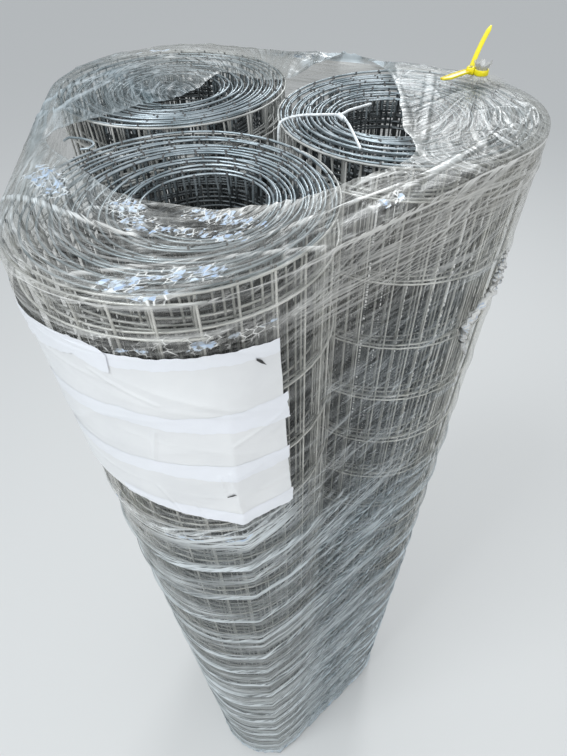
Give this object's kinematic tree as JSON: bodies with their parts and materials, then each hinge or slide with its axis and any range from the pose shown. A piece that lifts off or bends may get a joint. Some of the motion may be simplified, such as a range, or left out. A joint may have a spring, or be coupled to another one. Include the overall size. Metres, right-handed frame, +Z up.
{
  "type": "pack of welded wire fencing rolls",
  "caption": "Film-wrapped pack of galvanised welded wire mesh rolls stood on end, with open cores, a bare paper label and a cable tie.",
  "frame": {"origin": "on the floor, under the middle of the three rolls' outline", "axes": "+Z up along the rolls, -Y towards the label, +X towards the side roll"},
  "size_m": [0.4458, 0.4612, 1.5355],
  "materials": {
    "galvanised_wire": "dull galvanised, bright where the light grazes it",
    "film": "clear, wrinkled, glossy",
    "paper": "matte, creased, under clear tape",
    "yellow_plastic": "smooth",
    "white_wire": "satin"
  },
  "bodies": {
    "root": {"roll_front": "galvanised_wire", "roll_back": "galvanised_wire", "roll_side": "galvanised_wire", "stretch_film": "film", "paper_label": "paper", "cable_tie": "yellow_plastic", "tie_wire": "white_wire"}
  },
  "joints": []
}
